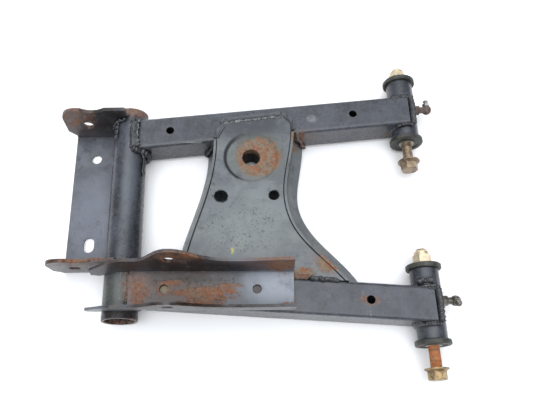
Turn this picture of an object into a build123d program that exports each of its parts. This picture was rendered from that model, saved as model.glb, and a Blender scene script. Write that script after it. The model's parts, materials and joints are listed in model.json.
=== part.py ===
from build123d import *
import os
from math import cos, hypot, radians, sin, tan

# Spare tire carrier: a welded swing frame that turns on two greased hinge barrels.
# Millimetres, +Z up, the frame lying flat.  The origin is on the hinge axis, midway
# between the two arms; +Y runs along the hinge axis and -X points to the cross tube.

# ---------------------------------------------------------------- driving dimensions
# frame
tube_x = -332.0             # cross tube axis, measured from the hinge axis
tube_od, tube_wall = 38.1, 3.2
tube_length = 250.0
arm_size, arm_wall = 38.0, 3.0
arm_corner_r, arm_inner_corner_r = 4.0, 1.5
arm_splay = 5.1             # degrees each arm opens towards the hinge
arm_y_at_tube = 89.3        # arm centre line where it meets the cross tube
arm_end_x = 3.0             # the arms run just past the hinge axis
arm_hole_r = 4.7
edge_chamfer = 0.5          # tube and spacer ends
arm_holes = {"upper": (48.9, 266.2), "lower": (266.2,)}    # from the cross tube axis

# hinge barrels
barrels = {"upper": 124.6, "lower": -116.1}     # middle of each barrel along Y
sleeve_r, sleeve_bore_r, sleeve_length, sleeve_chamfer = 16.0, 12.5, 77.0, 0.6
bush_flange_r, bush_flange_t = 19.6, 5.6
bush_bore_r, bush_depth = 9.0, 30.0
bush_lip_r, bush_face_r, bush_face_depth = 10.6, 14.5, 0.8     # groove in the flange face
bush_rim_chamfer = 0.9
spacer_r, spacer_bore_r = 8.95, 6.08
spacer_proud = 0.3          # the inner spacer stands this far out of each bush

# pivot bolts, drawn out towards -Y with the nut still at the far bush
bolt_r, bolt_length, bolt_tip_chamfer = 6.0, 130.0, 1.2
bolt_head_y = -67.3         # underside of the head, from the middle of the barrel
bolt_flange_r, bolt_flange_rim, bolt_flange_t = 13.0, 1.3, 3.4
hex_flats, bolt_head_height, hex_chamfer = 18.0, 12.0, 1.5
nut_height, nut_hex_height = 16.0, 11.0
nut_collar_r, nut_collar_chamfer, nut_bore_r = 8.3, 1.6, 6.06
nut_gap = 0.2

# box section between the arms, laid out in the plate's own plane
plate_t, pressing_t, rim_t = 3.0, 3.0, 2.6
plate_drop = 1.065          # degrees: it laps the upper arm and ends flush with the lower
rim_gap, rim_proud = 0.1, 0.9
shoulder_depth, foot_depth, shoulder_step = 18.5, 34.5, 1.0
skirt_t = 6.0
hub_at = (143.0, 56.5)
hub_r, hub_tube_r = 10.35, 15.0
dish_r, dish_floor_r, dish_depth, dish_back_r = 31.8, 28.2, 2.3, 34.0
plate_hole_r, plate_hole_at = 5.9, (167.5, 8.2)
slot_length, slot_width, slot_at = 15.6, 12.8, (108.3, 8.2)
plate_edge_r = 1.6

# edges of the box section and its lap on the upper arm, from the cross tube axis
left_rim = [(99.5, 92), (96.2, 38), (86.4, 0), (75.5, -33), (63.5, -92)]
left_foot = [(90.5, 92), (86.3, 36), (75.6, 0), (64.8, -33), (53.0, -92)]
right_rim = [(193.5, 96), (184.6, 35), (182.0, 13), (190.6, -27.6), (217.0, -61.8), (250, -99)]
right_foot = [(206.0, 96), (198.4, 33), (197.6, 7), (207.0, -19), (233.0, -51.5), (268, -99)]
lap_edge = [(189.5, 99.5), (180.5, 109.2), (110.5, 101.0)]

# latch bracket: a wide clevis on the outside of the cross tube
latch_t, latch_lean = 4.0, 4.0
latch_ears_y = (-61.0, 107.5)                   # inner faces where they leave the web
latch_ear_left, latch_web_left, latch_ear_right = -76.5, -69.0, -2.0
latch_height = 58.5         # from the underside of the web to the top of the ears
latch_bend_r, latch_corners_r = 6.4, (16.0, 7.0)
latch_web_step, latch_ear_step = 8.0, 17.0      # heights where the web's edge runs out to the ears
latch_dip_x, latch_dip_r, latch_dip = -40.0, 24.0, 4.5
latch_hole_x, latch_hole_h, latch_hole_r = -50.0, 29.0, 6.2
web_hole_r, web_hole_at = 6.0, (-43.9, 76.6)
web_slot_length, web_slot_at = 18.0, (-44.6, -32.8)

# channel bracket: an open channel welded along the lower arm, over the cross tube
channel_t, channel_inner, channel_bend_r = 3.0, 38.0, 3.6
channel_skew = -1.5         # degrees from the X direction
channel_leans = (6.0, 7.0)  # near and far wall, degrees outwards
channel_mid_y = -95.3       # channel centre line at the cross tube axis
channel_left, channel_web_left, channel_right = -31.0, 12.0, 185.0
channel_hook = 10.0         # the walls hook this far down behind the cross tube
channel_hook_left, channel_hook_chamfer, channel_back_h = -22.0, 2.0, 3.0
channel_hole_x, channel_hole_h, channel_hole_r = 57.0, 32.5, 5.75
channel_web_holes_x, channel_web_hole_r = (48.8, 146.2), 5.0
channel_top = [(-7, 23), (8, 28), (27, 31), (41, 44), (54, 52), (68, 50), (84, 40), (104, 32)]
channel_top += [(140, 30.5), (185, 34)]

# grease fittings
fitting_from_middle = 3.5   # along the barrel
fitting_hex_flats, fitting_hex_t, fitting_stub_r = 10.0, 5.4, 3.0
fitting_ball_r, fitting_neck_r = 5.9, 3.9
fitting_ball_x, fitting_bore_r = 31.0, 1.4
nipple_hex_flats, nipple_hex_h = 8.0, 3.0
nipple_neck_r, nipple_head_r, nipple_length, nipple_seat_r = 2.3, 3.3, 9.0, 0.9
nipple_base_flare, nipple_tip_lip = 0.8, 0.6
nipple_neck_span, nipple_head_span = (1.4, 2.0), (3.2, 4.0)    # along the nipple, past its hexagon
nipple_sink = 0.8           # share of the ball's radius where the nipple starts
check_ball_r, seat_t = 1.2, 0.5
nipple_directions = {"upper": (0, 1, 0.12), "lower": (0, -0.46, 0.89)}

# ---------------------------------------------------------------- worked-out sizes
clear = 0.05
arm_headroom = 40.0         # how far the arm trims reach above and below the arms
long = 700.0                # longer than anything it makes or cuts
tube_r = tube_od / 2
arm_half = arm_size / 2
arm_slope = tan(radians(arm_splay))
arm_y_at_hinge = arm_y_at_tube - tube_x * arm_slope
barrel_half = sleeve_length / 2 + bush_flange_t
sides = {"upper": 1, "lower": -1}
along_y = (90, 0, 0)        # rotation that lays a cylinder along Y
along_x = (0, 90, 0)

os.makedirs("parts", exist_ok=True)


def keep(piece, node):
    """Label a finished piece with its node name and write its STEP file."""
    piece.part.label = node
    export_step(piece.part, f"parts/{node}.step")


def facing_y(y):
    """Sketch plane square to the hinge axis, looking along +Y."""
    return Plane(origin=(0, y, 0), x_dir=(1, 0, 0), z_dir=(0, 1, 0))


# ================================================================ cross tube and arms
with BuildPart() as cross_tube:
    with BuildSketch(facing_y(-tube_length / 2)):
        with Locations((tube_x, 0)):
            Circle(tube_r)
            Circle(tube_r - tube_wall, mode=Mode.SUBTRACT)
    extrude(amount=tube_length)
    chamfer(cross_tube.edges().filter_by(GeomType.CIRCLE), edge_chamfer)
keep(cross_tube, "cross_tube")


def arm_section(side):
    """Section plane of an arm past the hinge, its normal pointing to the cross tube."""
    angle = radians(arm_splay)
    run = Vector(-cos(angle), -sides[side] * sin(angle), 0)
    start = Vector(0, sides[side] * arm_y_at_hinge, 0) - run * (arm_size / 2)
    return Plane(origin=start, x_dir=(0, 0, 1), z_dir=run)


for side in sides:
    with BuildPart() as arm:
        with BuildSketch(arm_section(side)):
            RectangleRounded(arm_size, arm_size, arm_corner_r)
            inner = arm_size - 2 * arm_wall
            RectangleRounded(inner, inner, arm_inner_corner_r, mode=Mode.SUBTRACT)
        extrude(amount=arm_size - tube_x)
        split(bisect_by=Plane.YZ.offset(tube_x), keep=Keep.TOP)
        split(bisect_by=Plane.YZ.offset(arm_end_x), keep=Keep.BOTTOM)
        with Locations((tube_x, 0, 0)):
            Cylinder(tube_r, long, rotation=along_y, mode=Mode.SUBTRACT)
        Cylinder(sleeve_r, long, rotation=along_y, mode=Mode.SUBTRACT)
        for from_tube in arm_holes[side]:
            hole_y = sides[side] * (arm_y_at_tube + from_tube * arm_slope)
            with Locations((tube_x + from_tube, hole_y, arm_half)):
                Cylinder(arm_hole_r, 3 * arm_wall, mode=Mode.SUBTRACT)
    keep(arm, f"{side}_arm")


# ================================================================ box section
lap_y = arm_y_at_tube - arm_half + hub_at[0] * arm_slope
plate_plane = Plane(
    origin=(tube_x, 0, arm_half - lap_y * tan(radians(plate_drop)) + clear),
    x_dir=(1, 0, 0),
    z_dir=(0, -sin(radians(plate_drop)), cos(radians(plate_drop))),
)


def on_plate(at, depth=0.0):
    """Location on the plate plane, from the cross tube axis."""
    return plate_plane * Location((*at, depth))


def shifted(points, distance):
    """Points moved sideways off the run they lie on; positive moves towards +X."""
    moved = []
    for index, (x, y) in enumerate(points):
        x0, y0 = points[max(index - 1, 0)]
        x1, y1 = points[min(index + 1, len(points) - 1)]
        run = hypot(x1 - x0, y1 - y0)
        moved.append((x - distance * (y1 - y0) / run, y + distance * (x1 - x0) / run))
    return moved


def section_sketch(depth, left, right):
    """Face between a left edge and a right edge, on a plane off the plate plane."""
    with BuildSketch(plate_plane.offset(depth)) as outline:
        with BuildLine():
            Spline(*left)
            Line(left[-1], right[-1])
            Spline(*reversed(right))
            Line(right[0], left[0])
        make_face()
    return outline.sketch


def arm_envelope(side, headroom):
    """Solid over the outside of an arm, for trimming what butts against it."""
    with BuildPart() as envelope:
        with BuildSketch(arm_section(side)):
            with Locations((headroom / 2, 0)):
                Rectangle(arm_size + headroom, arm_size)
        extrude(amount=long)
    return envelope.part


arm_trims = {side: arm_envelope(side, arm_headroom) for side in sides}
channel_base = Plane(
    origin=(tube_x, channel_mid_y, arm_half + 3 * clear),
    x_dir=(cos(radians(channel_skew)), sin(radians(channel_skew)), 0),
    z_dir=(0, 0, 1),
)
with BuildPart() as channel_seat:
    with BuildSketch(channel_base.offset(-clear)):
        Rectangle(2 * channel_right, channel_inner + 3 * channel_t)
    extrude(amount=channel_t)

with BuildPart() as wheel_plate:
    with BuildSketch(plate_plane):
        edge_left = shifted(left_rim, rim_t + rim_gap)
        edge_right = shifted(right_rim, -rim_t - rim_gap)
        with BuildLine():
            Spline(*edge_left)
            Line(edge_left[-1], edge_right[-1])
            Spline(*reversed(edge_right))
            Polyline(edge_right[0], *lap_edge, edge_left[0])
        make_face()
    extrude(amount=plate_t)
    long_edges = wheel_plate.edges().filter_by(GeomType.BSPLINE)
    top_long = [e for e in long_edges if plate_plane.to_local_coords(e.center()).Z > plate_t / 2]
    fillet(top_long, plate_edge_r)
    add(arm_trims["lower"], mode=Mode.SUBTRACT)
    with Locations(on_plate(hub_at, -dish_depth)):
        Cylinder(dish_back_r, dish_depth, align=(Align.CENTER, Align.CENTER, Align.MIN))
    add(arm_envelope("upper", 0), mode=Mode.SUBTRACT)
    with Locations(on_plate(hub_at, plate_t - dish_depth)):
        Cone(dish_floor_r, dish_r, dish_depth, align=(Align.CENTER, Align.CENTER, Align.MIN),
             mode=Mode.SUBTRACT)
    with Locations(on_plate(hub_at)):
        Cylinder(hub_r, 4 * plate_t, mode=Mode.SUBTRACT)
    with Locations(on_plate(plate_hole_at)):
        Cylinder(plate_hole_r, 4 * plate_t, mode=Mode.SUBTRACT)
    with BuildSketch(plate_plane.offset(-plate_t)):
        with Locations(slot_at):
            SlotOverall(slot_length, slot_width)
    extrude(amount=3 * plate_t, mode=Mode.SUBTRACT)
keep(wheel_plate, "wheel_plate")

floor_depth = foot_depth - pressing_t
rim_height = shoulder_depth + plate_t + rim_proud
with BuildPart() as plate_back_pressing:
    foot = section_sketch(-foot_depth, left_foot, right_foot)
    shoulder = section_sketch(
        -shoulder_depth, shifted(left_rim, -shoulder_step), shifted(right_rim, shoulder_step)
    )
    loft([foot.face(), shoulder.face()])
    extrude(section_sketch(-shoulder_depth, left_rim, right_rim), amount=rim_height)
    inner_foot = section_sketch(
        -floor_depth, shifted(left_foot, skirt_t), shifted(right_foot, -skirt_t)
    )
    inner_shoulder = section_sketch(
        -shoulder_depth, shifted(left_rim, rim_t), shifted(right_rim, -rim_t)
    )
    loft([inner_foot.face(), inner_shoulder.face()], mode=Mode.SUBTRACT)
    extrude(inner_shoulder, amount=rim_height, mode=Mode.SUBTRACT)
    for trim in (*arm_trims.values(), channel_seat.part):
        add(trim, mode=Mode.SUBTRACT)
    with Locations(on_plate(hub_at, -floor_depth)):
        Cylinder(hub_r, 4 * pressing_t, mode=Mode.SUBTRACT)
keep(plate_back_pressing, "plate_back_pressing")

with BuildPart() as hub_tube:
    with BuildSketch(Plane(on_plate(hub_at, -floor_depth))):
        Circle(hub_tube_r)
        Circle(hub_r, mode=Mode.SUBTRACT)
    extrude(amount=floor_depth - dish_depth)
keep(hub_tube, "hub_tube")


# ================================================================ latch bracket
def leaning_channel(plane, near, far, thickness, leans, height, bend_r):
    """Channel section with walls leaning outwards; its web runs from near to far."""
    near_run, far_run = (tan(radians(lean)) for lean in leans)
    rise = height - thickness
    with BuildSketch(plane) as section:
        with BuildLine():
            Polyline(
                (near - thickness, 0),
                (far + thickness, 0),
                (far + thickness + height * far_run, height),
                (far + rise * far_run, height),
                (far, thickness),
                (near, thickness),
                (near - rise * near_run, height),
                (near - thickness - height * near_run, height),
                close=True,
            )
        make_face()
        fillet(section.vertices().group_by(Axis.Y)[0], bend_r)
    return section.sketch


web_base_z = -tube_r - clear - latch_t
with BuildPart() as latch_bracket:
    across = Plane(origin=(tube_x + latch_ear_left, 0, web_base_z), x_dir=(0, 1, 0), z_dir=(1, 0, 0))
    leans = (latch_lean, latch_lean)
    ears = leaning_channel(across, *latch_ears_y, latch_t, leans, latch_height, latch_bend_r)
    extrude(ears, amount=-latch_ear_left)
    side_plane = Plane(origin=(tube_x, long / 2, web_base_z), x_dir=(1, 0, 0), z_dir=(0, -1, 0))
    with BuildSketch(side_plane) as side_view:
        with BuildLine():
            Polyline(
                (0, 0),
                (latch_web_left, 0),
                (latch_web_left, latch_web_step),
                (latch_ear_left, latch_ear_step),
                (latch_ear_left, latch_height),
                (latch_ear_right, latch_height),
                (latch_ear_right, latch_t),
                (0, latch_t),
                close=True,
            )
        make_face()
        top_corners = side_view.vertices().group_by(Axis.Y)[-1].sort_by(Axis.X)
        for corner, corner_r in zip(top_corners, latch_corners_r):
            fillet(corner, corner_r)
        with Locations((latch_dip_x, latch_height + latch_dip_r - latch_dip)):
            Circle(latch_dip_r, mode=Mode.SUBTRACT)
    extrude(amount=long, mode=Mode.INTERSECT)
    with Locations((tube_x, 0, 0)):
        Cylinder(tube_r, long, rotation=along_y, mode=Mode.SUBTRACT)
    with Locations((tube_x + latch_hole_x, 0, web_base_z + latch_hole_h)):
        Cylinder(latch_hole_r, long, rotation=along_y, mode=Mode.SUBTRACT)
    with Locations((tube_x + web_hole_at[0], web_hole_at[1], web_base_z)):
        Cylinder(web_hole_r, 4 * latch_t, mode=Mode.SUBTRACT)
    with BuildSketch(Plane.XY.offset(web_base_z - latch_t)):
        with Locations(Location((tube_x + web_slot_at[0], web_slot_at[1], 0), (0, 0, 90))):
            SlotOverall(web_slot_length, 2 * web_hole_r)
    extrude(amount=3 * latch_t, mode=Mode.SUBTRACT)
keep(latch_bracket, "latch_bracket")


# ================================================================ channel bracket
channel_tallest = max(height for _, height in channel_top)


def channel_section(from_tube):
    """Plane square to the channel, its X across the channel and its Y upwards."""
    start = channel_base * Location((from_tube, 0, 0))
    return Plane(origin=start.position, x_dir=channel_base.y_dir, z_dir=channel_base.x_dir)


half_inner = channel_inner / 2
over_tube_walls = [
    [
        (end * (half_inner + rise * tan(radians(lean)) + outward), rise)
        for rise, outward in (
            (-channel_hook, 0),
            (-channel_hook, channel_t),
            (channel_tallest, channel_t),
            (channel_tallest, 0),
        )
    ]
    for end, lean in zip((-1, 1), channel_leans)
]
with BuildPart() as channel_bracket:
    channel_size = (-half_inner, half_inner, channel_t, channel_leans, channel_tallest)
    section = leaning_channel(channel_section(channel_web_left), *channel_size, channel_bend_r)
    extrude(section, amount=channel_right - channel_web_left)
    with BuildSketch(channel_section(channel_left)):
        for corners in over_tube_walls:
            Polygon(*corners, align=None)
    extrude(amount=channel_web_left - channel_left)
    side_plane = Plane(channel_base.origin, x_dir=channel_base.x_dir, z_dir=-channel_base.y_dir)
    with BuildSketch(side_plane.offset(-long / 2)):
        with BuildLine():
            Spline(*channel_top)
            Polyline(
                channel_top[-1],
                (channel_right, 0),
                (0, 0),
                (channel_hook_left, -channel_hook),
                (channel_left, channel_hook_chamfer - channel_hook),
                (channel_left, channel_back_h),
                channel_top[0],
            )
        make_face()
    extrude(amount=long, mode=Mode.INTERSECT)
    with Locations((tube_x, 0, 0)):
        Cylinder(tube_r + clear, long, rotation=along_y, mode=Mode.SUBTRACT)
    hole_z = channel_base.origin.Z + channel_hole_h
    with Locations((tube_x + channel_hole_x, channel_mid_y, hole_z)):
        Cylinder(channel_hole_r, 3 * channel_inner, rotation=along_y, mode=Mode.SUBTRACT)
    for from_tube in channel_web_holes_x:
        with Locations(channel_base * Location((from_tube, 0, 0))):
            Cylinder(channel_web_hole_r, 3 * channel_t, mode=Mode.SUBTRACT)
keep(channel_bracket, "channel_bracket")


# ================================================================ hinge barrels
def ring(y, outer, inner):
    """Ring about the hinge axis at y, facing +Y."""
    with BuildSketch(facing_y(y)) as section:
        Circle(outer)
        Circle(inner, mode=Mode.SUBTRACT)
    return section.sketch


def rims_of(piece, radius):
    """Round edges of a piece that have this radius."""
    rounds = piece.edges().filter_by(GeomType.CIRCLE)
    return rounds.filter_by(lambda edge: abs(edge.radius - radius) < clear)


def chamfered_hexagon(plane, flats, height):
    """Hexagon bar standing on a plane, the corners of its far end turned down."""
    corner_r = flats / 3 ** 0.5
    with BuildPart() as bar:
        with BuildSketch(plane):
            RegularPolygon(corner_r, 6)
        extrude(amount=height)
        with BuildSketch(Plane(plane.origin, x_dir=plane.x_dir, z_dir=-plane.y_dir)):
            Polygon(
                (0, 0),
                (2 * corner_r, 0),
                (2 * corner_r, height - (corner_r + hex_chamfer) / 3 ** 0.5),
                (corner_r - hex_chamfer, height),
                (0, height),
                align=None,
            )
        revolve(axis=Axis(plane.origin, plane.z_dir), mode=Mode.INTERSECT)
    return bar.part


for side, middle in barrels.items():
    with BuildPart() as sleeve:
        extrude(ring(middle - sleeve_length / 2, sleeve_r, sleeve_bore_r), amount=sleeve_length)
        with Locations((sleeve_r, middle + fitting_from_middle, 0)):
            Cylinder(fitting_stub_r + clear, sleeve_r, rotation=along_x, mode=Mode.SUBTRACT)
        chamfer(rims_of(sleeve, sleeve_r), sleeve_chamfer)
    keep(sleeve, f"{side}_sleeve")

    for end, way in (("near", -1), ("far", 1)):
        outer_face = facing_y(middle + way * barrel_half)
        shoulder = middle + way * sleeve_length / 2
        with BuildPart() as bush:
            extrude(ring(shoulder, bush_flange_r, bush_bore_r), amount=way * bush_flange_t)
            chamfer(rims_of(bush, bush_flange_r), bush_rim_chamfer)
            extrude(ring(shoulder, sleeve_bore_r, bush_bore_r), amount=-way * bush_depth)
            with BuildSketch(outer_face):
                Circle(bush_face_r)
                Circle(bush_lip_r, mode=Mode.SUBTRACT)
            extrude(amount=bush_face_depth, both=True, mode=Mode.SUBTRACT)
        keep(bush, f"{side}_{end}_bush")

    spacer_half = barrel_half + spacer_proud
    with BuildPart() as spacer:
        extrude(ring(middle - spacer_half, spacer_r, spacer_bore_r), amount=2 * spacer_half)
        chamfer(rims_of(spacer, spacer_r), edge_chamfer)
    keep(spacer, f"{side}_spacer")

    head_y = middle + bolt_head_y
    head_plane = Plane(origin=(0, head_y, 0), x_dir=(1, 0, 0), z_dir=(0, -1, 0))
    with BuildPart() as bolt:
        add(chamfered_hexagon(head_plane, hex_flats, bolt_head_height))
        with BuildSketch(Plane.XY):
            with BuildLine():
                Polyline(
                    (0, head_y),
                    (bolt_flange_r, head_y),
                    (bolt_flange_r, head_y - bolt_flange_rim),
                    (hex_flats / 2, head_y - bolt_flange_t),
                    (0, head_y - bolt_flange_t),
                    close=True,
                )
            make_face()
        revolve(axis=Axis.Y)
        with BuildSketch(facing_y(head_y)):
            Circle(bolt_r)
        extrude(amount=bolt_length)
        tip = bolt.faces().sort_by(Axis.Y)[-1]
        chamfer(tip.edges(), bolt_tip_chamfer)
    keep(bolt, f"{side}_pivot_bolt")

    nut_plane = facing_y(middle + spacer_half + nut_gap)
    with BuildPart() as nut:
        add(chamfered_hexagon(nut_plane, hex_flats, nut_hex_height))
        with BuildSketch(nut_plane):
            Circle(nut_collar_r)
        extrude(amount=nut_height)
        chamfer(nut.faces().sort_by(Axis.Y)[-1].edges(), nut_collar_chamfer)
        with BuildSketch(nut_plane):
            Circle(nut_bore_r)
        extrude(amount=nut_height, mode=Mode.SUBTRACT)
    keep(nut, f"{side}_nut")


# ================================================================ grease fittings
for side, middle in barrels.items():
    fitting_y = middle + fitting_from_middle
    ball_at = Vector(fitting_ball_x, fitting_y, 0)
    way_out = Vector(*nipple_directions[side]).normalized()
    nipple_start = ball_at + way_out * fitting_ball_r * nipple_sink
    nipple_plane = Plane(origin=nipple_start, x_dir=(1, 0, 0), z_dir=way_out)

    with BuildPart() as elbow:
        hex_plane = Plane(origin=(sleeve_r + 4 * clear, fitting_y, 0), x_dir=(0, 0, 1), z_dir=(1, 0, 0))
        with BuildSketch(hex_plane):
            RegularPolygon(fitting_hex_flats / 3 ** 0.5, 6)
        extrude(amount=fitting_hex_t)
        with BuildSketch(hex_plane.offset(sleeve_bore_r - sleeve_r)):
            Circle(fitting_stub_r)
        extrude(amount=sleeve_r - sleeve_bore_r)
        with BuildSketch(hex_plane):
            Circle(fitting_neck_r)
        extrude(amount=fitting_ball_x - sleeve_r)
        with Locations(ball_at):
            Sphere(fitting_ball_r)
        split(bisect_by=nipple_plane, keep=Keep.BOTTOM)
    keep(elbow, f"{side}_grease_elbow")

    with BuildPart() as nipple:
        with BuildSketch(nipple_plane):
            RegularPolygon(nipple_hex_flats / 3 ** 0.5, 6)
        extrude(amount=nipple_hex_h)
        with BuildSketch(Plane(nipple_start, x_dir=nipple_plane.x_dir, z_dir=-nipple_plane.y_dir)):
            with BuildLine():
                Polyline(
                    (0, nipple_hex_h / 2),
                    (nipple_neck_r + nipple_base_flare, nipple_hex_h),
                    *((nipple_neck_r, nipple_hex_h + along) for along in nipple_neck_span),
                    *((nipple_head_r, nipple_hex_h + along) for along in nipple_head_span),
                    (nipple_seat_r + nipple_tip_lip, nipple_length),
                    (0, nipple_length),
                    close=True,
                )
            make_face()
        revolve(axis=Axis(nipple_start, way_out))
        with BuildSketch(nipple_plane.offset(nipple_hex_h)):
            Circle(fitting_bore_r)
        extrude(amount=nipple_length - nipple_hex_h - seat_t, mode=Mode.SUBTRACT)
        with BuildSketch(nipple_plane.offset(nipple_length)):
            Circle(nipple_seat_r)
        extrude(amount=-2 * seat_t, mode=Mode.SUBTRACT)
    keep(nipple, f"{side}_grease_nipple")

    ball_rest = nipple_start + way_out * (nipple_length - seat_t - check_ball_r - 2 * clear)
    with BuildPart() as check_ball:
        with Locations(ball_rest):
            Sphere(check_ball_r)
    keep(check_ball, f"{side}_check_ball")
    print(side, "check ball at", ball_rest, "moves along", way_out)
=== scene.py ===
"""Looks of a welded swing frame: worn paint, rust, weld beads, zinc fasteners, light and camera."""
import json
import logging
import math
import random
from dataclasses import dataclass, field
from enum import Enum

import bmesh
import bpy
from mathutils import Matrix, Vector


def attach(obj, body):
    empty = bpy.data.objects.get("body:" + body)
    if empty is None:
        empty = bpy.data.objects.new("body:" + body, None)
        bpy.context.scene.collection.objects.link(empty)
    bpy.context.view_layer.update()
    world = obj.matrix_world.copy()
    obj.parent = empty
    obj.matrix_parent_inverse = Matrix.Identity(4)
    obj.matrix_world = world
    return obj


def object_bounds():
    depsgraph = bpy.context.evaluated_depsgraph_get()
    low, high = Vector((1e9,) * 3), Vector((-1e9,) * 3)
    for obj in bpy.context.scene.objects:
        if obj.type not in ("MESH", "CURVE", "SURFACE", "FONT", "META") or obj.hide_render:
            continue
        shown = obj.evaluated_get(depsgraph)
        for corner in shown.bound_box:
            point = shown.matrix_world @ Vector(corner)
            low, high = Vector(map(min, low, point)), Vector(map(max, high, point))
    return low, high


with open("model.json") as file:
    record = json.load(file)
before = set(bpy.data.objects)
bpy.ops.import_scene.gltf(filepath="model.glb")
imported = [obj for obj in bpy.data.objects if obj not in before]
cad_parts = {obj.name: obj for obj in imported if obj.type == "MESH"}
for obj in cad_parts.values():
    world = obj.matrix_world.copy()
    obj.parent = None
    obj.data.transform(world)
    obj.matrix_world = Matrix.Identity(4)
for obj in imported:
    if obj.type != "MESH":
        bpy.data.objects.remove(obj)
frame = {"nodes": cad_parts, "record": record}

logging.basicConfig(level=logging.INFO, format="%(message)s")
log = logging.getLogger("carrier")

CAD_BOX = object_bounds()
MM = 0.001
SIDES = {"upper": 1, "lower": -1}

Point = tuple[float, float, float]
Socket = bpy.types.NodeSocket
Tree = bpy.types.NodeTree


# ------------------------------------------------------------------ small helpers
def linear(colour: str) -> tuple[float, float, float, float]:
    """Turn an sRGB hex colour into linear RGBA.

    Args:
        colour: Six hex digits after a hash, such as "#5a5d63".

    Returns:
        Linear red, green, blue and an alpha of one.
    """
    parts = [int(colour[i:i + 2], 16) / 255 for i in (1, 3, 5)]
    red, green, blue = (c / 12.92 if c <= 0.04045 else ((c + 0.055) / 1.055) ** 2.4 for c in parts)
    return red, green, blue, 1.0


def add(tree: Tree, kind: str, inputs: dict | None = None, **settings: object) -> bpy.types.Node:
    """Add one shader node with its settings, values and links.

    Args:
        tree: Node tree that gets the node.
        kind: Blender's name of the node type.
        inputs: Socket name or number to a value, or to the socket that feeds it.
        **settings: Properties of the node itself.

    Returns:
        The new node.
    """
    node = tree.nodes.new(kind)
    for name, value in settings.items():
        setattr(node, name, value)
    for name, value in (inputs or {}).items():
        socket = node.inputs[name]
        if isinstance(value, Socket):
            tree.links.new(value, socket)
        else:
            socket.default_value = value
    return node


def per_mm(size: float) -> float:
    """Texture scale at which one feature is this many millimetres across."""
    return 1.0 / (size * MM)


def new_material(name: str) -> tuple[bpy.types.Material, Tree, bpy.types.Node]:
    """Make a node material; gives it back with its tree and its one shader."""
    material = bpy.data.materials.new(name)
    material.use_nodes = True
    return material, material.node_tree, material.node_tree.nodes["Principled BSDF"]


def join(tree: Tree, shader: bpy.types.Node, sockets: dict[str, Socket]) -> None:
    """Link sockets to a shader's inputs of these names."""
    for name, socket in sockets.items():
        tree.links.new(socket, shader.inputs[name])


# ------------------------------------------------------------------ pattern maker
@dataclass(frozen=True)
class Cloud:
    """Cloudy patches: blotch size in mm, octaves, roughness, then the step from 0 to top."""

    size: float
    detail: float
    rough: float
    low: float
    high: float
    top: float = 1.0


@dataclass(frozen=True)
class Scratches:
    """Long thin marks: how the noise is stretched, its turn, where the marks start, how strong."""

    stretch: Point
    turn_deg: float
    low: float
    top: float


# patches of the finishes
RUST_DUST = Cloud(6.0, 4.0, 0.55, 0.40, 0.58)
RUST_SCALE = Cloud(2.6, 6.0, 0.8, 0.44, 0.66, 0.75)
FILM_BREAKS = Cloud(14.0, 5.0, 0.65, 0.18, 0.54)
ROAD_DUST = Cloud(17.0, 5.0, 0.62, 0.50, 0.72, 0.75)
SMUDGES = Cloud(9.0, 5.0, 0.7, 0.52, 0.68, 0.6)
EDGE_RUST = Cloud(12.0, 4.0, 0.55, 0.52, 0.62)
ZINC_STAIN = Cloud(4.5, 4.0, 0.6, 0.40, 0.66, 0.85)
GREASE_SMEAR = Cloud(8.0, 4.0, 0.6, 0.42, 0.66, 0.9)
SCRATCHES = (
    Scratches((0.09, 2.2, 1.0), 24, 0.715, 0.35),
    Scratches((2.0, 0.11, 1.0), 12, 0.72, 0.3),
)
SCRATCH_STEP = 0.025
# colours shared by the painted finishes; two of them are painted shade, for the arc round the hub and
# for holes and hollows
CHIP, PIT, CRESCENT_SHADE, PAINTED_SHADE, MARKER = "#a9aaa6", "#101112", "#1c1e21", "#191a1c", "#a39d52"
# reaches in mm
CREVICE_REACH, WORN_EDGE, RUSTY_EDGE, SCUFFED_EDGE = 5.0, 1.1, 2.2, 0.8
PLASTIC_IOR = PAINT_IOR = 1.5


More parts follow.
